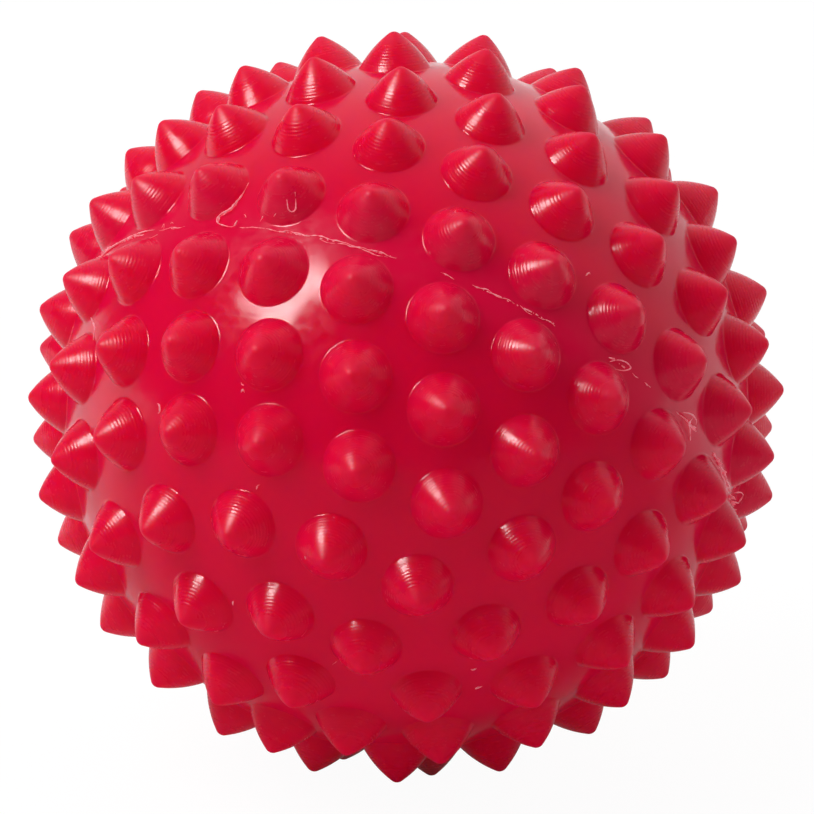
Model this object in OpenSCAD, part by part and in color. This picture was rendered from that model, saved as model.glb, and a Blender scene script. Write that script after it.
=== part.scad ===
// Spiked sensory ball. A hollow ball of soft vinyl, moulded as two half shells that are
// welded round the middle, with rows of solid pointed spikes and a push-in air stopper.
// Lengths are in millimetres and angles in degrees. The origin is the centre of the ball,
// and +Z is up as the ball lies at rest on three of its spikes.

/* [Ball] */
// Diameter over the tips of the spikes
ball_d = 90; // [86:0.5:100]
// Thickness of the wall between the spikes
wall_t = 2.4; // [1.8:0.1:3]

/* [Spikes] */
// Height of a tip above the skin
spike_h = 4.1; // [3.4:0.1:5]
// Diameter of a spike where it meets the skin
spike_d = 8.5; // [7.5:0.1:9]
// Radius of a rounded tip
tip_r = 1; // [0.7:0.05:1.2]
// Radius of the bulge of a spike's flank, seen from the side
flank_r = 13; // [12:0.5:30]
// Depth of a spike's root in the wall
root_t = 0.3; // [0.2:0.05:0.4]
// Bare skin from the middle of the seam to the nearest spikes
seam_land = 0.75; // [0.7:0.05:1.5]
// Bare skin from the valve's recess to the nearest spikes
valve_land = 0.1; // [0.1:0.05:0.5]

/* [Seam] */
// Thickness of the weld between the two rims
weld_t = 0.5; // [0.3:0.05:0.8]
// Height of the trimmed weld bead on the skin, and of its twin inside the ball
bead_h = 0.15; // [0.1:0.05:0.4]
// Width of the bead where it meets the skin
bead_w = 0.8; // [0.7:0.05:1.2]
// Height of the longest flash that the trimming left standing on the bead
flash_h = 1; // [0.6:0.1:1.6]
// Thickness of the flash at its root
flash_t = 0.3; // [0.2:0.05:0.4]
// Thickness of the wall at its rim
rim_t = 3.6; // [3:0.1:5]
// Height of the thick part of the rim
rim_h = 3; // [2:0.1:5]

/* [Valve] */
// Diameter of the stopper's head
head_d = 6; // [5:0.1:6.2]
// Thickness of the head at its edge
head_t = 1; // [0.8:0.1:1.6]
// Rise of the head's crown above its edge
crown_h = 0.25; // [0.1:0.05:0.5]
// Depth of the recess that the head sits in, measured at the pole
recess_t = 0.9; // [0.6:0.1:1.2]
// Gap between the head and the wall of its recess
head_gap = 0.2; // [0.1:0.05:0.3]
// Gap left under the head when the stopper is home
seat_gap = 0.05; // [0.02:0.01:0.1]
// Diameter of the bore through the valve seat
bore_d = 3.3; // [2.8:0.1:3.8]
// Gap between the stopper's rings and the bore, taken on the radius
ring_gap = 0.03; // [0.02:0.01:0.08]
// Height of the rings on the stem
ring_h = 0.25; // [0.1:0.05:0.4]
// Length of the stopper's stem under its head
stem_l = 8.4; // [7:0.1:10]
// Outer diameter of the valve seat's tube
seat_d = 5.6; // [5:0.1:6]
// Diameter of the flange that is bonded to the wall
flange_d = 11; // [9:0.5:14]
// Thickness of that flange
flange_t = 1.4; // [1:0.1:2]
// Length of the tube that hangs inside the ball, under the flange
tube_l = 3.4; // [2:0.1:5]
// Thickness that the inner pad adds to the wall at the valve
pad_t = 1.2; // [0.8:0.1:2]
// Diameter of that pad
pad_d = 14; // [12:0.5:18]
// Bond line between the valve seat and the wall
bond_t = 0.02; // [0.01:0.01:0.05]

/* [Hidden] */
$fn = 96;

// Skin and wall
core_r = ball_d / 2 - spike_h;
inner_r = core_r - wall_t;
// A cut runs this far past the face that it opens
overrun = 1;

// A spike stands on an axis through the ball's centre. Seen from the side, its flank is an arc that
// starts at the spike's edge on the skin and runs smoothly into the rounded tip
spike_r = spike_d / 2;
base_z = sqrt(core_r * core_r - spike_r * spike_r);
tip_z = ball_d / 2 - tip_r;
// The arc runs into a circle of this share of the tip's radius, so that arc and tip cross cleanly
tip_share = 0.99;
neck_r = tip_r * tip_share;
edge = [spike_r, base_z - tip_z];
edge_l = norm(edge);
reach = flank_r - neck_r;
along = (reach * reach - flank_r * flank_r + edge_l * edge_l) / (2 * edge_l);
across = sqrt(reach * reach - along * along);
flank_at = [0, tip_z] + (edge * along + [edge[1], -edge[0]] * across) / edge_l;

// Rows of spikes run round the ball's moulding axis, from the seam to the pole.
// Each row's place is a share of the way from the first row to the last one.
row_share = [0, 0.192, 0.381, 0.587, 0.798, 1];
row_count = [24, 22, 19, 15, 10, 4];
spike_a = asin(spike_r / core_r);
first_row = spike_a + asin(seam_land / core_r);
recess_r = head_d / 2 + head_gap;
last_row = 90 - spike_a - asin((recess_r + valve_land) / core_r);
function row_lat(row) = first_row + row_share[row] * (last_row - first_row);

// The cavities of a half mould were laid out row by row, each row a small share of its own pitch
// off a common start line, and the two half moulds were closed at a chance angle to each other
lower_slip_share = [0, -0.14, 0, 0.042, 0.028, 0];
upper_slip_share = [0, 0, 0.053, -0.063, 0.028, 0];
lower_turn = 0;
upper_turn = -77.2;
function spike_azimuth(row, k, slip_share, turn) = turn + (k + slip_share[row]) * 360 / row_count[row];

// The ball lies on three spikes of its lower half. Each is found by counting rows up from the first
// one at the seam, and then spikes round that row
foot_row_count = [2, 3, 3];
foot_place_count = [3, 2, 3];
function lower_dir(lat, azimuth) = [cos(lat) * cos(azimuth), cos(lat) * sin(azimuth), -sin(lat)];
function foot_dir(row, k) = lower_dir(row_lat(row), spike_azimuth(row, k, lower_slip_share, lower_turn));
feet_dir = [
    for (i = [0 : len(foot_row_count) - 1])
        foot_dir(foot_row_count[i], foot_place_count[i])
];
feet_face = cross(feet_dir[1] - feet_dir[0], feet_dir[2] - feet_dir[0]);
up = -feet_face * sign(feet_face * feet_dir[0]) / norm(feet_face);
// Compass direction of the valve from the ball's centre, counted from +X
valve_azimuth = 62.4;
lean = [-up[0], -up[1]] * up[2];
level = concat(lean, 1 - up[2] * up[2]) / norm(concat(lean, 1 - up[2] * up[2]));
right = level * cos(valve_azimuth) - cross(up, level) * sin(valve_azimuth);
back = cross(up, right);

// Runs of flash round the seam: where each starts and how far it goes, in degrees, and its share
// of the greatest height
flash_share = [
    [15, 14, 0.45], [62, 9, 0.6], [118, 20, 0.5], [158, 6, 0.7], [186, 24, 0.5], [214, 4, 0.4],
    [226, 6, 1], [234, 24, 0.4], [268, 3, 0.4], [274, 13, 0.4], [299, 4, 0.8], [305, 3, 0.5],
    [317, 8, 0.8], [331, 10, 0.6], [343, 12, 0.8]
];

// Valve, along the moulding axis, measured from the ball's centre
recess_z = core_r - recess_t;
pad_z = inner_r - pad_t;
flange_z = pad_z - flange_t;
tube_z = flange_z - tube_l;
seat_r = seat_d / 2;
bore_r = bore_d / 2;
ring_r = bore_r - ring_gap;
stem_r = ring_r - ring_h;
ring_count = 3;
// The rings sit in the upper part of the stem, and the nose tapers below them
ring_zone_share = 0.72;
nose_share = 0.18;
nose_r_share = 0.6;
lead_in = ring_h;

// Moves a piece from the moulding frame, whose +Z is the valve's pole, to the ball as it lies
module lay() {
    multmatrix([concat(right, 0), concat(back, 0), concat(up, 0), [0, 0, 0, 1]]) children();
}

// One spike, standing on the wall along +Z
module spike() {
    foot_z = base_z - root_t;
    neck_z = tip_z + neck_r * (tip_z - flank_at[1]) / reach;
    rotate_extrude() {
        intersection() {
            translate(flank_at)
                circle(flank_r);
            translate([0, foot_z])
                square([spike_d, neck_z - foot_z]);
        }
        intersection() {
            translate([0, tip_z])
                circle(tip_r);
            translate([0, tip_z])
                square(2 * tip_r);
        }
    }
}

// All the spikes of one half, on the side of +Z
module spikes(slip_share, turn) {
    for (row = [0 : len(row_count) - 1])
        for (k = [0 : row_count[row] - 1])
            rotate([0, 90 - row_lat(row), spike_azimuth(row, k, slip_share, turn)])
                spike();
}

// Wall of one half in section: the skin, and the rim that is thickened for the weld
module wall_section() {
    intersection() {
        difference() {
            circle(core_r);
            circle(inner_r);
        }
        translate([0, weld_t / 2])
            square(core_r + overrun);
    }
    mid_r = core_r - wall_t / 2;
    polygon([
        [core_r - rim_t, weld_t / 2],
        [mid_r, weld_t / 2],
        [mid_r, rim_h + rim_t - wall_t / 2],
        [core_r - rim_t, rim_h]
    ]);
}

module plain_half() {
    rotate_extrude()
        wall_section();
}

module lower_shell() {
    color("crimson")
        lay()
            mirror([0, 0, 1]) {
                plain_half();
                spikes(lower_slip_share, lower_turn);
            }
}

// The upper half also carries the pad, the hole and the recess of the valve
module upper_shell() {
    color("crimson")
        lay()
            difference() {
                union() {
                    plain_half();
                    spikes(upper_slip_share, upper_turn);
                    translate([0, 0, pad_z])
                        cylinder(h = pad_t + wall_t / 2, r = pad_d / 2);
                }
                translate([0, 0, pad_z - overrun])
                    cylinder(h = core_r, r = seat_r + bond_t);
                translate([0, 0, recess_z])
                    cylinder(h = recess_t + overrun, r = recess_r);
            }
}

// The weld in section: a web between the rims, with a bead at each end that laps over the rims
module weld_section() {
    in_r = core_r - rim_t;
    crest = bead_w / 5;
    polygon([
        [in_r, -weld_t / 2],
        [in_r, -bead_w / 2],
        [in_r - bead_h, -crest],
        [in_r - bead_h, crest],
        [in_r, bead_w / 2],
        [in_r, weld_t / 2],
        [core_r, weld_t / 2],
        [core_r, bead_w / 2],
        [core_r + bead_h, crest],
        [core_r + bead_h, -crest],
        [core_r, -bead_w / 2],
        [core_r, -weld_t / 2]
    ]);
}

// One run of flash in section, rooted in the bead and thinning outwards
module flash_section(height) {
    thin = flash_t / 4;
    polygon([
        [core_r, -flash_t / 2],
        [core_r + height, -thin],
        [core_r + height, thin],
        [core_r, flash_t / 2]
    ]);
}

module weld_bead() {
    color("firebrick")
        lay() {
            rotate_extrude()
                weld_section();
            for (run = flash_share)
                rotate([0, 0, run[0]])
                    rotate_extrude(angle = run[1])
                        flash_section(flash_h * run[2]);
        }
}

// The soft bush that lines the air hole
module valve_seat() {
    color("mistyrose")
        lay()
            rotate_extrude()
                polygon([
                    [bore_r, tube_z],
                    [seat_r - lead_in, tube_z],
                    [seat_r, tube_z + lead_in],
                    [seat_r, flange_z],
                    [flange_d / 2, flange_z],
                    [flange_d / 2, pad_z],
                    [seat_r, pad_z],
                    [seat_r, recess_z],
                    [bore_r + lead_in, recess_z],
                    [bore_r, recess_z - lead_in]
                ]);
}

// The stopper: a low crowned head, a ringed stem and a tapered nose
module valve_plug() {
    head_r = head_d / 2;
    top = head_t + crown_h;
    crown_r = (head_r * head_r + crown_h * crown_h) / (2 * crown_h);
    nose_l = stem_l * nose_share;
    pitch = stem_l * ring_zone_share / ring_count;
    color("white")
        lay()
            translate([0, 0, recess_z + seat_gap]) {
                rotate_extrude()
                    intersection() {
                        polygon([
                            [0, 0],
                            [head_r - lead_in, 0],
                            [head_r, lead_in],
                            [head_r, top],
                            [0, top]
                        ]);
                        translate([0, top - crown_r])
                            circle(crown_r);
                    }
                rotate_extrude()
                    polygon([
                        [0, head_t / 2],
                        [stem_r, head_t / 2],
                        [stem_r, nose_l - stem_l],
                        [stem_r * nose_r_share, -stem_l],
                        [0, -stem_l]
                    ]);
                for (i = [0 : ring_count - 1])
                    translate([0, 0, -pitch * (i + 0.5)])
                        rotate_extrude()
                            polygon([
                                [0, -2 * ring_h],
                                [stem_r, -2 * ring_h],
                                [ring_r, 0],
                                [ring_r, ring_h],
                                [stem_r, 2 * ring_h],
                                [0, 2 * ring_h]
                            ]);
            }
}

lower_shell();
upper_shell();
weld_bead();
valve_seat();
valve_plug();
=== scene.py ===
import math
import random

import bmesh
import bpy
import numpy as np
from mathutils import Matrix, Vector, noise
from mathutils.geometry import delaunay_2d_cdt


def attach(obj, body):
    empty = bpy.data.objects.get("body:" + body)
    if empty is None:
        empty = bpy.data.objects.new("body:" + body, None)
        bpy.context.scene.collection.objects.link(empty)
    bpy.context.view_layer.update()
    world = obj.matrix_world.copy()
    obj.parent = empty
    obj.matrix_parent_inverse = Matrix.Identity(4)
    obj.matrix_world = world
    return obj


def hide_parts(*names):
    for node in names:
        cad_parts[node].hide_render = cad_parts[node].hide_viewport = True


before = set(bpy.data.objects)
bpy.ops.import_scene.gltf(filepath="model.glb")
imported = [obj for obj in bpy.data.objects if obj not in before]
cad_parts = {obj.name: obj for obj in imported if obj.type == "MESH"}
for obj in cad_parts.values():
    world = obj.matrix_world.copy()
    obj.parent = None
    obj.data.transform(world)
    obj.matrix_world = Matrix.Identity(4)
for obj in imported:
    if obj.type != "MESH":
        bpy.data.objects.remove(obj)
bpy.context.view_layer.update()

# Spiked sensory ball in soft vinyl. The shapes are in millimetres until mesh_piece() turns them to
# metres; the materials and the studio are in metres. The sizes of the skin, the rim, the spikes,
# their rows and the recess are those of part.scad. The fillets are only here, and the weld's bead
# and film are finer here than there.
MM = 0.001
BALL_R = 45.0          # over the tips
SKIN_R = 40.9          # between the spikes
SPIKE_R = 4.25         # a spike's foot
TIP_R = 1.0
FLANK_R = 13.0         # bulge of a spike's flank, seen from the side
RIM_T = 3.6            # depth of a half's rim at the seam
FILLET = 0.5           # round a spike's foot
POLE_FILLET = 0.16     # round the four feet that stand close to the stopper
SEAM_LAND = 0.75       # bare skin from the seam to the first spikes
POLE_LAND = 3.3        # bare skin round each pole
RECESS_R = 3.2         # the stopper's recess
RECESS_FLOOR = 40.0
BUSH_HOLE_R = 2.82     # the hole in the recess's floor, which the valve seat fills

# Rows of spikes from the seam to the pole: the place of each between the first row and the last,
# its number of spikes, and how far each half's row slipped round, in shares of the row's pitch
ROW_SHARE = [0, 0.192, 0.381, 0.587, 0.798, 1]
ROW_COUNT = [24, 22, 19, 15, 10, 4]
LOWER_SLIP = [0, -0.14, 0, 0.042, 0.028, 0]
UPPER_SLIP = [0, 0, 0.053, -0.063, 0.028, 0]
UPPER_TURN = -77.2     # degrees from the lower half to the upper one

# The moulding frame as the ball lies: its pole is where the stopper is
POLE = Vector((0.3334777, 0.6378839, 0.6941878)).normalized()
START = Vector((0.9310336, -0.1070635, -0.3488751))
START = (START - POLE * START.dot(POLE)).normalized()
SIDE = POLE.cross(START)
LAY = np.array([START, SIDE, POLE]).T

# How finely the round shapes are cut
SPIKE_SIDES = 50
SEAM_SIDES = 720
RECESS_SIDES = 96
THREAD_SIDES = 6
FILLET_CUTS, FLANK_CUTS, TIP_CUTS = 4, 9, 6
SPAN_CUTS = 8          # between two points of a thread


# Materials

def linear(hex_colour):
    """sRGB hex to the linear colour that the shaders take."""
    parts = [int(hex_colour[i:i + 2], 16) / 255 for i in (1, 3, 5)]
    return tuple(c / 12.92 if c <= 0.04045 else ((c + 0.055) / 1.055) ** 2.4 for c in parts) + (1.0,)


def add(tree, kind, settings=None, **links):
    """Adds a node. settings holds properties and socket values; links join sockets. A socket is
    given by its name, or by its number where names repeat."""
    made = tree.nodes.new(kind)
    for key, value in (settings or {}).items():
        if isinstance(key, str) and hasattr(made, key) and key not in made.inputs:
            setattr(made, key, value)
        else:
            made.inputs[key].default_value = value
    for key, source in links.items():
        key = int(key[1:]) if key[0] == "_" and key[1:].isdigit() else key.replace("_", " ")
        tree.links.new(source, made.inputs[key])
    return made


def new_material(name):
    made = bpy.data.materials.new(name)
    made.use_nodes = True
    made.node_tree.nodes.clear()
    return made, made.node_tree


def soft_vinyl():
    """Plasticised PVC, moulded in a turned and polished steel mould. The skin copies the polish and
    shines like wet lacquer; the spikes copy the rings that the form tool left in their cavities."""
    # distances from the ball's centre
    flank_from, flank_full = 0.0411, 0.0415
    dull_from, dull_full = 0.043, 0.0455
    # distances from the weld's plane, over which light begins to wander under the surface
    weld_edge, weld_clear = 0.0005, 0.008
    ring_pitch = 0.0003
    # heights of the marks in the surface
    swell_height, turned_height, ring_height = 0.00003, 0.000004, 0.000008
    # numbers of noise cells in a metre: 6, 0.7, 2.4, 3.8, 0.4 and 1.1 mm across
    drift_scale, cut_scale, wear_scale = 160.0, 1500.0, 420.0
    swell_scale, turned_scale, haze_scale = 260.0, 2600.0, 900.0

    material, t = new_material("soft_vinyl")
    place = add(t, "ShaderNodeTexCoord").outputs["Object"]
    radius = add(t, "ShaderNodeVectorMath", {"operation": "LENGTH"}, _0=place).outputs["Value"]
    # 0 on the skin and 1 on a spike's flank; and 0 on the flank, rising to nearly 1 at the tip
    on_spike = add(t, "ShaderNodeMapRange", {"From Min": flank_from, "From Max": flank_full},
                   Value=radius).outputs[0]
    at_tip = add(t, "ShaderNodeMapRange", {
        "interpolation_type": "SMOOTHSTEP",
        "From Min": dull_from,
        "From Max": dull_full,
    }, Value=radius).outputs[0]

    # tool rings on the spikes: they wander a little, are cut unevenly and worn here and there
    drift = add(t, "ShaderNodeTexNoise", {"Scale": drift_scale, "Detail": 1.0},
                Vector=place).outputs[0]
    wander = add(t, "ShaderNodeMath", {"operation": "MULTIPLY_ADD", 1: ring_pitch},
                 _0=drift, _2=radius).outputs[0]
    phase = add(t, "ShaderNodeMath", {"operation": "MULTIPLY", 1: 2 * math.pi / ring_pitch},
                _0=wander).outputs[0]
    rings = add(t, "ShaderNodeMath", {"operation": "SINE"}, _0=phase).outputs[0]
    cut = add(t, "ShaderNodeTexNoise", {
        "noise_dimensions": "1D",
        "Scale": cut_scale,
        "Detail": 2.0,
    }, W=wander).outputs[0]
    cut_depth = add(t, "ShaderNodeMapRange", {
        "From Min": 0.3,
        "From Max": 0.65,
        "To Min": 0.3,
        "To Max": 1.3,
    }, Value=cut).outputs[0]
    patchy = add(t, "ShaderNodeTexNoise", {"Scale": wear_scale, "Detail": 2.0},
                 Vector=place).outputs[0]
    wear = add(t, "ShaderNodeMapRange", {
        "From Min": 0.35,
        "From Max": 0.65,
        "To Min": 0.5,
        "To Max": 1.1,
    }, Value=patchy).outputs[0]
    worn_depth = add(t, "ShaderNodeMath", {"operation": "MULTIPLY"}, _0=wear, _1=cut_depth).outputs[0]
    ring_depth = add(t, "ShaderNodeMath", {"operation": "MULTIPLY"},
                     _0=worn_depth, _1=on_spike).outputs[0]
    ring_marks = add(t, "ShaderNodeMath", {"operation": "MULTIPLY"}, _0=rings, _1=ring_depth).outputs[0]

    # the skin's slow unevenness, and the mould's turning lines round the pole
    swell = add(t, "ShaderNodeTexNoise", {"Scale": swell_scale, "Detail": 2.0},
                Vector=place).outputs[0]
    height = add(t, "ShaderNodeVectorMath", {"operation": "DOT_PRODUCT", 1: tuple(POLE)},
                 _0=place).outputs["Value"]
    turned = add(t, "ShaderNodeTexNoise", {
        "noise_dimensions": "1D",
        "Scale": turned_scale,
        "Detail": 2.0,
    }, W=height).outputs[0]
    bump = None
    for marks, tall in ((swell, swell_height), (turned, turned_height), (ring_marks, ring_height)):
        below = {"Normal": bump} if bump else {}
        bump = add(t, "ShaderNodeBump", {"Strength": 1.0, "Distance": tall},
                   Height=marks, **below).outputs[0]

    # gloss: patchy on the skin, duller on the flanks and the rings' crests, dullest at the very tips
    haze = add(t, "ShaderNodeTexNoise", {"Scale": haze_scale, "Detail": 3.0}, Vector=place).outputs[0]
    rough = add(t, "ShaderNodeMapRange", {
        "From Min": 0.35,
        "From Max": 0.65,
        "To Min": 0.11,
        "To Max": 0.21,
    }, Value=haze).outputs[0]
    for where, more in ((on_spike, 0.07), (at_tip, 0.3), (ring_marks, 0.02)):
        rough = add(t, "ShaderNodeMath", {"operation": "MULTIPLY_ADD", 1: more},
                    _0=where, _2=rough).outputs[0]

    # light wanders under the surface, but not out through the weld's plane
    off_seam = add(t, "ShaderNodeMath", {"operation": "ABSOLUTE"}, _0=height).outputs[0]
    wandering = add(t, "ShaderNodeMapRange", {
        "interpolation_type": "SMOOTHSTEP",
        "From Min": weld_edge,
        "From Max": weld_clear,
    }, Value=off_seam).outputs[0]
    skin = add(t, "ShaderNodeBsdfPrincipled", {
        "Base Color": linear("#ee0542"),
        "IOR": 1.5,
        "Subsurface Radius": (1.0, 0.12, 0.2),
        "Subsurface Scale": 0.0048,
        "Specular IOR Level": 0.4,
        "Sheen Weight": 0.1,
        "Sheen Roughness": 0.15,
        "Sheen Tint": linear("#ffc4cc"),
    }, Subsurface_Weight=wandering, Roughness=rough, Normal=bump)
    add(t, "ShaderNodeOutputMaterial", Surface=skin.outputs[0])
    return material


def thin_flash():
    """The same vinyl squeezed out of the weld as a film and threads: so thin that it looks pale,
    and crumpled in folds about 0.6 mm across. It also has a faint painted glow, which lightens it in
    shade."""
    folds_scale, folds_height = 1800.0, 0.00006
    material, t = new_material("thin_flash")
    place = add(t, "ShaderNodeTexCoord").outputs["Object"]
    crumple = add(t, "ShaderNodeTexNoise", {"Scale": folds_scale, "Detail": 2.0},
                  Vector=place).outputs[0]
    bump = add(t, "ShaderNodeBump", {"Strength": 1.0, "Distance": folds_height},
               Height=crumple).outputs[0]
    pale = add(t, "ShaderNodeMapRange", {"From Min": 0.35, "From Max": 0.65},
               Value=crumple).outputs[0]
    # a Mix node's two colours are its sockets 6 and 7, and its mixed colour is its output 2
    colour = add(t, "ShaderNodeMix", {
        "data_type": "RGBA",
        6: linear("#ff7c92"),
        7: linear("#ffbcc6"),
    }, _0=pale).outputs[2]
    # painted glow: a faint red emission that lightens the flash and its threads where they lie in shade
    film = add(t, "ShaderNodeBsdfPrincipled", {
        "Roughness": 0.35,
        "IOR": 1.5,
        "Emission Color": linear("#ff6c80"),
        "Emission Strength": 0.2,
    }, Base_Color=colour, Normal=bump)
    add(t, "ShaderNodeOutputMaterial", Surface=film.outputs[0])
    return material


def plain_plastic(name, colour, roughness, grain_scale):
    """Injection-moulded plastic: one colour, with the faint cloud and grain of its mould."""
    grain_height = 0.00001
    material, t = new_material(name)
    place = add(t, "ShaderNodeTexCoord").outputs["Object"]
    grain = add(t, "ShaderNodeTexNoise", {"Scale": grain_scale, "Detail": 3.0},
                Vector=place).outputs[0]
    bump = add(t, "ShaderNodeBump", {"Strength": 1.0, "Distance": grain_height},
               Height=grain).outputs[0]
    rough = add(t, "ShaderNodeMapRange", {"To Min": roughness - 0.05, "To Max": roughness + 0.08},
                Value=grain).outputs[0]
    body = add(t, "ShaderNodeBsdfPrincipled", {"Base Color": linear(colour), "IOR": 1.5},
               Roughness=rough, Normal=bump)
    add(t, "ShaderNodeOutputMaterial", Surface=body.outputs[0])
    return material


# Shapes

def mesh_piece(name, points, faces, material):
    """Points in the moulding frame and in millimetres, laid as the ball lies."""
    mesh = bpy.data.meshes.new(name)
    mesh.from_pydata([tuple(p) for p in (LAY @ np.array(points).T).T * MM], [], faces)
    mesh.materials.append(material)
    mesh.shade_smooth()
    piece = bpy.data.objects.new(name, mesh)
    bpy.context.scene.collection.objects.link(piece)
    return piece


def ring(sides, radius, z):
    """A ring of points round the pole's axis."""
    turns = [2 * math.pi * s / sides for s in range(sides)]
    return [Vector((radius * math.cos(a), radius * math.sin(a), z)) for a in turns]


def bridge(first, second, sides):
    """The faces between two rings, each given by the number of its first point."""
    nexts = [(s, (s + 1) % sides) for s in range(sides)]
    return [(first + s, first + n, second + n, second + s) for s, n in nexts]


def on_arc(centre, radius, angle):
    return centre + Vector((math.cos(angle), math.sin(angle))) * radius


def spike_axes(slip, turn):
    """One half's spikes, on the side of +Z: the direction of each, and the radius of its fillet."""
    half = math.asin(SPIKE_R / SKIN_R)
    first = half + math.asin(SEAM_LAND / SKIN_R)
    last = math.pi / 2 - half - math.asin(POLE_LAND / SKIN_R)
    axes = []
    for row, count in enumerate(ROW_COUNT):
        lat = first + ROW_SHARE[row] * (last - first)
        fillet = FILLET if row < len(ROW_COUNT) - 1 else POLE_FILLET
        for k in range(count):
            az = math.radians(turn + (k + slip[row]) * 360 / count)
            axis = Vector((math.cos(lat) * math.cos(az), math.cos(lat) * math.sin(az), math.sin(lat)))
            axes.append((axis, fillet))
    return axes


def spike_profile(fillet):
    """(radius, height along the spike's axis) from the skin up to the tip: the fillet at the foot,
    the bulging flank and the rounded tip."""
    base_z = math.sqrt(SKIN_R ** 2 - SPIKE_R ** 2)
    tip_z = BALL_R - TIP_R
    # centre of the flank's arc, which passes through the foot's edge and touches the tip's circle
    edge = Vector((SPIKE_R, base_z - tip_z))
    reach = FLANK_R - TIP_R
    along = (reach ** 2 - FLANK_R ** 2 + edge.length_squared) / (2 * edge.length)
    across = math.sqrt(reach ** 2 - along ** 2)
    centre = Vector((0, tip_z)) + (edge * along + Vector((edge.y, -edge.x)) * across) / edge.length
    # the fillet rolls from the skin to the flank, half its radius above the foot's edge
    low = math.atan2(base_z + 0.5 * fillet - centre.y, SPIKE_R - centre.x)
    high = math.atan2(tip_z - centre.y, -centre.x)
    foot = on_arc(centre, FLANK_R, low)
    roll = on_arc(foot, fillet, low)
    start_r = SKIN_R * math.sin(math.atan2(roll.x, roll.y))
    start = Vector((start_r, math.sqrt(SKIN_R ** 2 - start_r ** 2)))
    # a quadratic curve from the skin, past a corner just off the foot, to the flank
    corner = Vector((foot.x + 0.15 * fillet, start.y + 0.02 * fillet))
    profile = []
    for i in range(FILLET_CUTS + 1):
        s = i / FILLET_CUTS
        profile.append(start * (1 - s) ** 2 + corner * (2 * s * (1 - s)) + foot * s ** 2)
    for i in range(1, FLANK_CUTS + 1):
        profile.append(on_arc(centre, FLANK_R, low + (high - low) * i / FLANK_CUTS))
    for i in range(1, TIP_CUTS):
        a = high + (math.pi / 2 - high) * i / TIP_CUTS
        profile.append((TIP_R * math.cos(a), tip_z + TIP_R * math.sin(a)))
    return [(p[0], p[1]) for p in profile]


def to_map(p):
    """Where a point of the skin lies on the flat map that a view from the opposite pole gives.
    Every circle on the ball is a circle there."""
    return p.x / (p.length + p.z), p.y / (p.length + p.z)


def from_map(x, y):
    """The direction from the ball's centre to the point that lies there on the map."""
    q = x * x + y * y
    return np.array([2 * x, 2 * y, 1 - q]) / (1 + q)


def bare_skin(points, rims, holes, edge):
    """Fills in the skin between the rims and the seam's edge, on the flat map. A rim is a loop of
    point numbers round a hole, and a hole is its axis and its angle. Adds to points, and gives
    the faces."""
    # the map's step is 1.4 mm of skin at the pole and 0.7 mm at the seam, in rows of triangles
    step, row_share = 0.017, 0.866
    rim_gap, edge_gap = 0.012, 0.006
    map_points, owner, loops = [], [], []
    for loop in rims + [edge]:
        loops.append([len(map_points) + i for i in range(len(loop))])
        for i in loop:
            map_points.append(Vector(to_map(points[i])))
            owner.append(i)
    hole_dirs = np.array([tuple(axis) for axis, _ in holes])
    hole_cos = np.array([math.cos(angle + rim_gap) for _, angle in holes])
    limit = math.hypot(*to_map(points[edge[0]])) - edge_gap
    for j in range(int(2 / (step * row_share)) + 2):
        for i in range(int(2 / step) + 2):
            x, y = -1 + (i + 0.5 * (j % 2)) * step, -1 + j * step * row_share
            if x * x + y * y > limit * limit:
                continue
            d = from_map(x, y)
            if (hole_dirs @ d > hole_cos).any():
                continue
            map_points.append(Vector((x, y)))
            owner.append(len(points))
            points.append(Vector(d) * SKIN_R)
    edges = [(loop[i], loop[(i + 1) % len(loop)]) for loop in loops for i in range(len(loop))]
    out, _, tris, origin, _, _ = delaunay_2d_cdt(map_points, edges, [], 0, 1e-9)
    # a hole's straight sides run a little inside its circle, and the skin reaches up to them: a
    # triangle is in the hole if it is further in than the sides go
    side_share = 1.7
    inside_cos = np.array([
        math.cos(angle * (1 - side_share * (1 - math.cos(math.pi / len(rim)))))
        for (_, angle), rim in zip(holes, rims)
    ])
    faces = []
    for tri in tris:
        d = from_map(sum((out[i].x for i in tri)) / 3, sum((out[i].y for i in tri)) / 3)
        if not (hole_dirs @ d > inside_cos).any():
            faces.append(tuple(owner[origin[i][0]] for i in tri))
    return faces


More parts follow.
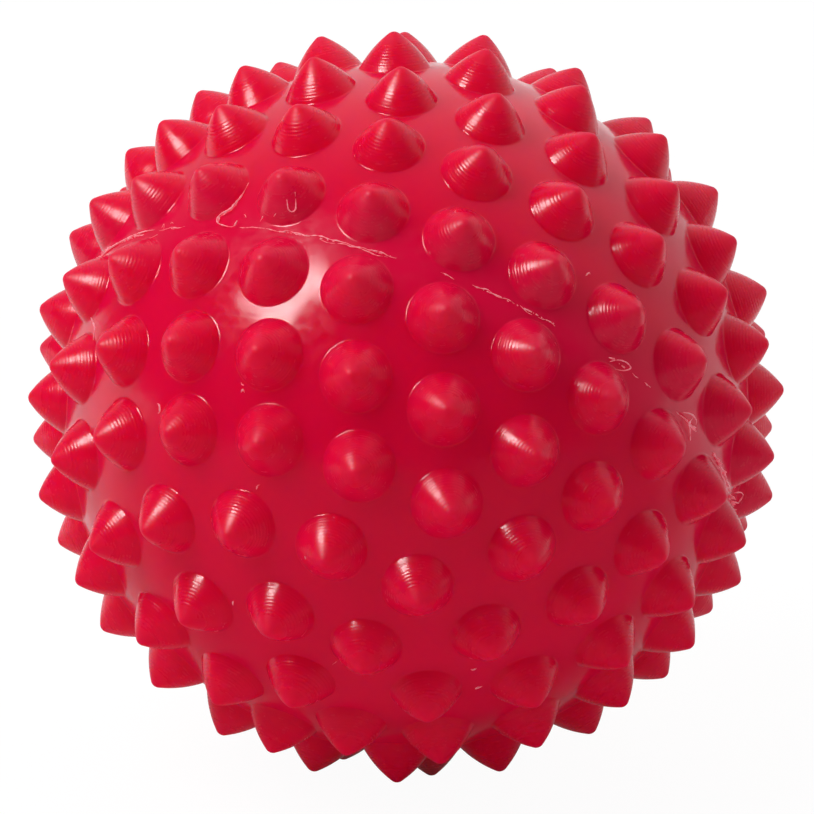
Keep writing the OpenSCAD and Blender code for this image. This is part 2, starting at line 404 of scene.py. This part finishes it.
def half_skin(name, side, slip, turn, material, recess=False):
    """One half of the skin with its spikes, and with the stopper's recess if it has one."""
    points, faces = [], []
    rims, holes = [], []
    for axis, fillet in spike_axes(slip, turn):
        profile = spike_profile(fillet)
        across = axis.orthogonal().normalized()
        along = axis.cross(across)
        first = len(points)
        for r, z in profile:
            for s in range(SPIKE_SIDES):
                a = 2 * math.pi * s / SPIKE_SIDES
                points.append(axis * z + (across * math.cos(a) + along * math.sin(a)) * r)
        points.append(axis * BALL_R)
        for k in range(len(profile) - 1):
            low = first + k * SPIKE_SIDES
            faces += bridge(low, low + SPIKE_SIDES, SPIKE_SIDES)
        last = first + (len(profile) - 1) * SPIKE_SIDES
        faces += [(last + s, last + (s + 1) % SPIKE_SIDES, len(points) - 1)
                  for s in range(SPIKE_SIDES)]
        rims.append(list(range(first, first + SPIKE_SIDES)))
        holes.append((axis, math.asin(profile[0][0] / SKIN_R)))

    # the seam's edge, and the rim's face with points of its own, so that the skin's shading runs
    # straight over the seam
    edge_at = len(points)
    for rim_r in (SKIN_R, SKIN_R, SKIN_R - RIM_T):
        points += ring(SEAM_SIDES, rim_r, 0.0)
    faces += bridge(edge_at + 2 * SEAM_SIDES, edge_at + SEAM_SIDES, SEAM_SIDES)

    if recess:
        mouth = len(points)
        points += ring(RECESS_SIDES, RECESS_R, math.sqrt(SKIN_R ** 2 - RECESS_R ** 2))
        points += ring(RECESS_SIDES, RECESS_R, RECESS_FLOOR)
        points += ring(RECESS_SIDES, BUSH_HOLE_R, RECESS_FLOOR)
        faces += bridge(mouth, mouth + RECESS_SIDES, RECESS_SIDES)
        faces += bridge(mouth + RECESS_SIDES, mouth + 2 * RECESS_SIDES, RECESS_SIDES)
        rims.append(list(range(mouth, mouth + RECESS_SIDES)))
        holes.append((Vector((0, 0, 1)), math.asin(RECESS_R / SKIN_R)))

    faces += bare_skin(points, rims, holes, list(range(edge_at, edge_at + SEAM_SIDES)))
    points = np.array([tuple(p) for p in points])
    if side < 0:
        points[:, 2] *= -1
        faces = [f[::-1] for f in faces]
    return mesh_piece(name, points, faces, material)


# What the trimming left on the weld. Angles are degrees round the seam, from START; heights are
# millimetres above the seam's plane, and lifts are millimetres off the skin.
# Each run of film: where it starts, how far it goes, and how high it stands off the skin
FILM_RUNS = [
    (15, 14, 0.45), (62, 9, 0.5), (118, 20, 0.4), (158, 6, 0.6), (186, 24, 0.45), (213, 5, 0.2),
    (236, 13, 0.25), (250, 9, 0.2), (267, 3.5, 0.2), (273, 6.5, 0.25), (280, 8, 0.25),
    (298.5, 4, 0.4), (305, 3, 0.25), (317, 6, 0.5), (329, 14, 0.5), (344, 11, 0.8),
]
# Each strand that lies along the seam: start, end, height and radius
STRANDS = [
    (15, 30, 0.1, 0.08), (61, 72, 0, 0.09), (90, 98, -0.2, 0.07), (117, 139, 0.1, 0.08),
    (157, 165, 0, 0.1), (185, 191, 0.0, 0.09), (212.5, 219, 0.1, 0.06), (231, 243, 0.0, 0.07),
    (241, 251, 0.12, 0.11), (249, 260, 0.05, 0.08), (246, 258, -0.25, 0.09), (267, 270, 0, 0.08),
    (272.5, 276, 0.1, 0.08), (276, 280, 0.0, 0.06), (281, 284, -0.05, 0.07),
    (284.5, 288, -0.1, 0.08), (304, 306, 0, 0.07), (307, 309, 0, 0.08), (316, 323, -0.1, 0.1),
    (330, 345, 0.15, 0.08), (334, 344, -0.3, 0.07), (349, 352, 0, 0.1),
]
# Each curled thread: its radius, and its points (angle, height, lift)
THREADS = [
    (0.15, [(190.0, -0.3, 0.08), (196.8, -0.08, 0.12), (201.0, 0.1, 0.12), (204.9, 0.26, 0.12),
            (208.2, 0.35, 0.1), (211.0, 0.3, 0.02)]),
    (0.13, [(192.5, -1.7, 0.05), (198.4, -1.49, 0.08), (204.8, -1.1, 0.08), (209.9, -0.95, 0.05),
            (212.5, -0.5, 0.02)]),
    (0.14, [(228.8, 6.2, 0.15), (228.8, 4.3, 0.2), (228.5, 3.2, 0.35), (228.0, 2.2, 0.35),
            (226.6, 1.5, 0.4), (226.1, 0.9, 0.4), (226.8, 0.2, 0.4), (228.6, -0.1, 0.3),
            (230.0, -0.1, 0.35), (230.5, 0.6, 0.5)]),
    (0.16, [(226.0, 1.3, 0.15), (226.5, 0.8, 0.3), (226.4, 0.3, 0.2)]),
    (0.12, [(239.36, 3.64, 2.75), (239.6, 2.83, 2.05), (239.85, 2.26, 1.45), (240.38, 2.15, 1.15),
            (240.86, 2.51, 1.25), (240.76, 3.25, 1.85), (240.48, 3.99, 2.45)]),
    (0.1, [(298.9, -0.6, 0.2), (299.9, 0.0, 0.7), (301.5, 0.3, 0.8), (302.9, 0.2, 0.5),
           (301.8, -0.6, 0.5), (300.1, -1.0, 0.15)]),
    (0.12, [(317.2, 0.3, 0.3), (318.6, 0.6, 0.8), (320.4, 0.6, 0.7), (321.7, 0.5, 0.2)]),
    (0.12, [(319.4, 0.5, 0.7), (319.2, -0.3, 0.6), (320.6, -0.8, 0.3), (322.0, -1.5, 0.1)]),
    (0.12, [(345.0, 0.4, 0.3), (346.0, 1.0, 0.9), (347.6, 1.2, 1.1), (349.0, 0.6, 0.7)]),
    (0.09, [(197.2, -9.1, 0.3), (199.6, -10.2, 0.6), (200.3, -11.0, 0.5), (199.2, -12.1, 0.2)]),
    (0.11, [(219.8, -20.6, 0.1), (220.5, -20.8, 0.25), (220.6, -21.4, 0.25), (219.9, -21.6, 0.1)]),
    (0.1, [(124.0, 0.4, 0.3), (126.0, 1.2, 0.8), (127.2, 2.4, 0.5), (126.4, 3.2, 0.15)]),
    (0.1, [(22.0, -0.3, 0.3), (23.4, -1.1, 0.8), (25.0, -1.3, 0.6), (25.8, -0.7, 0.2)]),
]
# Each crumb that stuck to the skin: angle, height and lift
CRUMBS = [
    (290.3, 7.9, 0), (239.2, -17.9, 0), (239.5, -18.8, 0), (260.0, -31.7, 1.9), (322.6, -33.6, 0),
    (332.0, -34.3, 0), (283.5, -38.6, 0), (232.9, -36.9, 0), (244.9, -27.8, 0), (231.1, 1.6, 0),
    (234.8, 1.3, 0.05), (237.8, 1.6, 1.0), (213.3, 0.5, 0), (215.3, 0.6, 0), (345.6, 1.4, 0),
    (96.0, 2.2, 0), (171.0, -1.6, 0), (41.0, 1.9, 0),
]


def on_seam(az):
    return Vector((math.cos(math.radians(az)), math.sin(math.radians(az)), 0)) * SKIN_R


def bead_section(az):
    """(radius, height) across the bead, which is trimmed almost flush with the skin."""
    u = on_seam(az)
    h = 0.045 * noise.noise(u * 0.35) + 0.03 * noise.noise(u * 1.7)
    s = 0.05 * noise.noise(u * 0.8 + Vector((3, 1, 7)))
    w = 0.3 + 0.1 * noise.noise(u * 0.5)
    sunk = 0.06
    return [(SKIN_R - sunk + (h + 0.05) * (1 - k * k) ** 2, s + w * k)
            for k in (-1, -0.75, -0.45, 0, 0.45, 0.75, 1)]


def film_section(az, share, seed, height):
    """(radius, height) across a run of film, a share of the way along it. None where it is torn."""
    root, half_t, least = 0.15, 0.07, 0.02
    u = on_seam(az)
    ends = min(1, 5 * share, 5 * (1 - share))
    ragged = 0.1 + 1.4 * noise.noise(u * 1.3 + seed) + 1.0 * noise.noise(u * 4.5 + seed)
    h = height * min(1.2, max(0, ragged)) * ends
    lean = 0.5 * noise.noise(u * 0.9 + seed * 2)
    sway = 0.08 * noise.noise(u * 2.2 + seed * 3)
    if h < least:
        return None
    middle, top = sway + lean * h * 0.4, sway + lean * h
    return [(SKIN_R - root, sway - half_t), (SKIN_R + h * 0.5, middle - half_t * 0.8),
            (SKIN_R + h, top - half_t * 0.5), (SKIN_R + h, top + half_t * 0.5),
            (SKIN_R + h * 0.5, middle + half_t * 0.8), (SKIN_R - root, sway + half_t)]


def sweep(points, faces, section_at, start, stop, step, closed):
    """Sweeps a section along the seam, and caps it wherever it breaks off. section_at takes an
    angle and the share of the way from start to stop."""
    count = int(round((stop - start) / step))
    pieces = [[]]
    for i in range(count if closed else count + 1):
        az = start + (stop - start) * i / count
        turned = math.cos(math.radians(az)), math.sin(math.radians(az))
        section = section_at(az, i / count)
        if section:
            pieces[-1].append([(r * turned[0], r * turned[1], z) for r, z in section])
        elif pieces[-1]:
            pieces.append([])
    for rings in pieces:
        if len(rings) < 2:
            continue
        first, width = len(points), len(rings[0])
        for points_of_ring in rings:
            points.extend(points_of_ring)
        for i in range(len(rings) if closed else len(rings) - 1):
            a, b = first + i * width, first + ((i + 1) % len(rings)) * width
            faces.extend((a + k, b + k, b + (k + 1) % width, a + (k + 1) % width)
                         for k in range(width))
        if not closed:
            last = first + (len(rings) - 1) * width
            faces.append(tuple(range(first, first + width)))
            faces.append(tuple(range(last + width - 1, last - 1, -1)))


def thread(points, faces, radius, path):
    """A thread through the path's points, a little flat and thinner at its ends."""
    knots = []
    for az, z, lift in path:
        seam_r = math.sqrt(SKIN_R * SKIN_R - z * z)
        knot = Vector((math.cos(math.radians(az)) * seam_r, math.sin(math.radians(az)) * seam_r, z))
        knots.append(knot * ((SKIN_R + lift) / knot.length))
    knots = [knots[0] * 2 - knots[1]] + knots + [knots[-1] * 2 - knots[-2]]
    line = []
    for i in range(1, len(knots) - 2):
        p0, p1, p2, p3 = knots[i - 1:i + 3]
        for j in range(SPAN_CUTS):
            u = j / SPAN_CUTS
            line.append(0.5 * (2 * p1 + (p2 - p0) * u + (2 * p0 - 5 * p1 + 4 * p2 - p3) * u * u
                               + (3 * p1 - p0 - 3 * p2 + p3) * u ** 3))
    line.append(knots[-2])
    first = len(points)
    side = None
    for i, p in enumerate(line):
        ahead = (line[min(i + 1, len(line) - 1)] - line[max(i - 1, 0)]).normalized()
        side = (side - ahead * side.dot(ahead) if side else ahead.orthogonal()).normalized()
        other = ahead.cross(side)
        taper = min(1, 0.35 + 3 * min(i, len(line) - 1 - i) / len(line))
        r = radius * taper * max(0.3, 0.85 + 1.1 * noise.noise(p * 2.3))
        for k in range(THREAD_SIDES):
            a = 2 * math.pi * k / THREAD_SIDES
            points.append(p + (side * math.cos(a) + other * math.sin(a) * 0.6) * r)
    for i in range(len(line) - 1):
        low = first + i * THREAD_SIDES
        faces += bridge(low, low + THREAD_SIDES, THREAD_SIDES)
    last = first + (len(line) - 1) * THREAD_SIDES
    faces.append(tuple(first + k for k in range(THREAD_SIDES - 1, -1, -1)))
    faces.append(tuple(last + k for k in range(THREAD_SIDES)))


def weld_line(bead_vinyl, film_vinyl):
    """The seam: a bead trimmed almost flush, and what the trimming left: ragged film that stands on
    it, strands, curled threads, and crumbs that stuck to the skin near it."""
    bead_step, film_step, strand_step = 0.25, 0.12, 0.8     # degrees
    rng = random.Random(11)

    def new_seed():
        return Vector((rng.uniform(0, 90), rng.uniform(0, 90), rng.uniform(0, 90)))

    points, faces = [], []
    sweep(points, faces, lambda az, _: bead_section(az), 0, 360, bead_step, True)
    bead_faces = len(faces)
    for start, length, height in FILM_RUNS:
        seed = new_seed()
        sweep(points, faces, lambda az, share: film_section(az, share, seed, height),
              start, start + length, film_step, False)
    for start, stop, z, radius in STRANDS:
        seed = new_seed()
        path = []
        for i in range(int((stop - start) / strand_step) + 1):
            az = start + strand_step * i
            u = on_seam(az)
            path.append((az, z + 0.35 * noise.noise(u * 0.7 + seed),
                         0.03 + 0.12 * noise.noise(u * 1.1 + seed * 2)))
        thread(points, faces, radius, path)
    for radius, path in THREADS:
        thread(points, faces, radius, path)
    for az, z, lift in CRUMBS:
        bend = [rng.uniform(-0.35, 0.35) for _ in range(3)]
        thread(points, faces, rng.uniform(0.06, 0.11), [
            (az - 0.35, z + bend[0], lift + 0.02),
            (az, z + bend[1], lift + 0.12),
            (az + 0.35, z + bend[2], lift + 0.02),
        ])
    piece = mesh_piece("weld_line", points, faces, bead_vinyl)
    piece.data.materials.append(film_vinyl)
    for face in piece.data.polygons[bead_faces:]:
        face.material_index = 1
    return piece


# The ball

vinyl = soft_vinyl()
flash = thin_flash()
lower = half_skin("lower_skin", -1, LOWER_SLIP, 0, vinyl)
upper = half_skin("upper_skin", 1, UPPER_SLIP, UPPER_TURN, vinyl, recess=True)
weld = weld_line(vinyl, flash)
for piece, node in ((lower, "lower_shell"), (upper, "upper_shell"), (weld, "weld_bead")):
    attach(piece, "ball")
    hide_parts(node)

# the valve keeps its solids from the CAD
finishes = {
    "valve_seat": plain_plastic("seat_vinyl", "#c01a3c", 0.4, 900.0),
    "valve_plug": plain_plastic("stopper_plastic", "#eceae6", 0.3, 700.0),
}
for name, finish in finishes.items():
    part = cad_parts[name]
    part.data.materials.clear()
    part.data.materials.append(finish)


# Studio

# The way from in front of the ball and its left, to behind it and its right
ASLANT = (0.5, 1.0, 0.25)
FLOOR_Z = -0.044345    # the ball's three feet stand here


def studio_floor():
    """A pale floor that keeps the ball's shadow. It is white to the camera, and in the ball's
    reflections where it lies behind the ball."""
    floor_r, floor_sides = 6.0, 64
    material, t = new_material("studio_floor")
    rays = add(t, "ShaderNodeLightPath")
    place = add(t, "ShaderNodeTexCoord").outputs["Object"]
    back = add(t, "ShaderNodeSeparateXYZ", {}, _0=place).outputs[1]
    far = add(t, "ShaderNodeMapRange", {
        "From Min": -0.02,
        "From Max": 0.08,
        "To Min": 0.0,
        "To Max": 0.9,
    }, Value=back).outputs[0]
    shine = add(t, "ShaderNodeMath", {"operation": "MULTIPLY"},
                _0=far, _1=rays.outputs["Is Glossy Ray"]).outputs[0]
    share = add(t, "ShaderNodeMath", {"operation": "MULTIPLY_ADD", 1: 0.93},
                _0=rays.outputs["Is Camera Ray"], _2=shine).outputs[0]
    tone = add(t, "ShaderNodeMapRange", {"To Min": 0.9, "To Max": 0.2},
               Value=rays.outputs["Is Glossy Ray"]).outputs[0]
    paint = add(t, "ShaderNodeBsdfDiffuse", {}, Color=tone)
    glow = add(t, "ShaderNodeEmission", {"Color": (1, 1, 1, 1), "Strength": 1.03})
    both = add(t, "ShaderNodeMixShader", {}, _0=share, _1=paint.outputs[0], _2=glow.outputs[0])
    add(t, "ShaderNodeOutputMaterial", Surface=both.outputs[0])
    mesh = bpy.data.meshes.new("studio_floor")
    form = bmesh.new()
    bmesh.ops.create_circle(form, cap_ends=True, segments=floor_sides, radius=floor_r)
    form.to_mesh(mesh)
    form.free()
    mesh.materials.append(material)
    floor = bpy.data.objects.new("studio_floor", mesh)
    floor.location.z = FLOOR_Z
    bpy.context.scene.collection.objects.link(floor)


def studio_air():
    """White to the camera, and white behind the ball and dim in front of it in reflections. It
    lights the ball softly, more from behind than from in front."""
    world = bpy.data.worlds.new("studio_air")
    bpy.context.scene.world = world
    world.use_nodes = True
    t = world.node_tree
    t.nodes.clear()
    rays = add(t, "ShaderNodeLightPath")
    look = add(t, "ShaderNodeTexCoord").outputs["Generated"]
    aslant = add(t, "ShaderNodeVectorMath", {"operation": "DOT_PRODUCT", 1: ASLANT},
                 _0=look).outputs["Value"]
    behind = add(t, "ShaderNodeMapRange", {
        "From Min": 0.15,
        "From Max": 1.1,
        "To Min": 0.02,
        "To Max": 1.0,
    }, Value=aslant).outputs[0]
    fill = add(t, "ShaderNodeMapRange", {
        "From Min": -1.1,
        "From Max": 1.1,
        "To Min": 0.16,
        "To Max": 0.68,
    }, Value=aslant).outputs[0]
    seen = add(t, "ShaderNodeBackground", {"Strength": 1.0})
    mirrored = add(t, "ShaderNodeBackground", {}, Strength=behind)
    lit = add(t, "ShaderNodeBackground", {}, Strength=fill)
    glossy = add(t, "ShaderNodeMath", {"operation": "MAXIMUM"}, _0=rays.outputs["Is Glossy Ray"],
                 _1=rays.outputs["Is Transmission Ray"]).outputs[0]
    unseen = add(t, "ShaderNodeMixShader", {}, _0=glossy, _1=lit.outputs[0], _2=mirrored.outputs[0])
    air = add(t, "ShaderNodeMixShader", {}, _0=rays.outputs["Is Camera Ray"],
              _1=unseen.outputs[0], _2=seen.outputs[0])
    add(t, "ShaderNodeOutputWorld", Surface=air.outputs[0])


def softbox(name, direction, distance, size, power, mirrored):
    """A square lamp that faces the ball. It is seen in reflections alone, or it lights the ball
    and isn't seen in them."""
    data = bpy.data.lights.new(name, "AREA")
    data.shape = "SQUARE"
    data.size = size
    data.energy = power
    lamp = bpy.data.objects.new(name, data)
    place = Vector(direction).normalized() * distance
    lamp.location = place
    lamp.rotation_euler = (-place).to_track_quat("-Z", "Y").to_euler()
    lamp.visible_glossy, lamp.visible_diffuse = mirrored, not mirrored
    bpy.context.scene.collection.objects.link(lamp)


def camera():
    """A long lens, 18.5 degrees above the floor, as in the photograph."""
    photo_width = 814
    data = bpy.data.cameras.new("camera")
    data.sensor_width = 36.0
    data.lens = 502.0
    data.clip_end = 20.0
    data.shift_x = 1.5 / photo_width
    data.shift_y = -1.9 / photo_width
    made = bpy.data.objects.new("camera", data)
    tilt = math.radians(18.5)
    distance = 1.35
    made.location = Vector((0, -math.cos(tilt), math.sin(tilt))) * distance
    made.rotation_euler = (math.pi / 2 - tilt, 0, 0)
    bpy.context.scene.collection.objects.link(made)
    bpy.context.scene.camera = made


bpy.context.scene.view_settings.view_transform = "Standard"
studio_floor()
studio_air()
softbox("key_softbox", (-0.609, -0.322, 0.725), 0.9, 0.33, 6.5, True)
softbox("key_light", (-0.6, -0.2, 0.8), 0.9, 0.6, 4.6, False)
softbox("top_light", (0.1, 0.35, 1.0), 1.0, 0.9, 1.5, False)
camera()
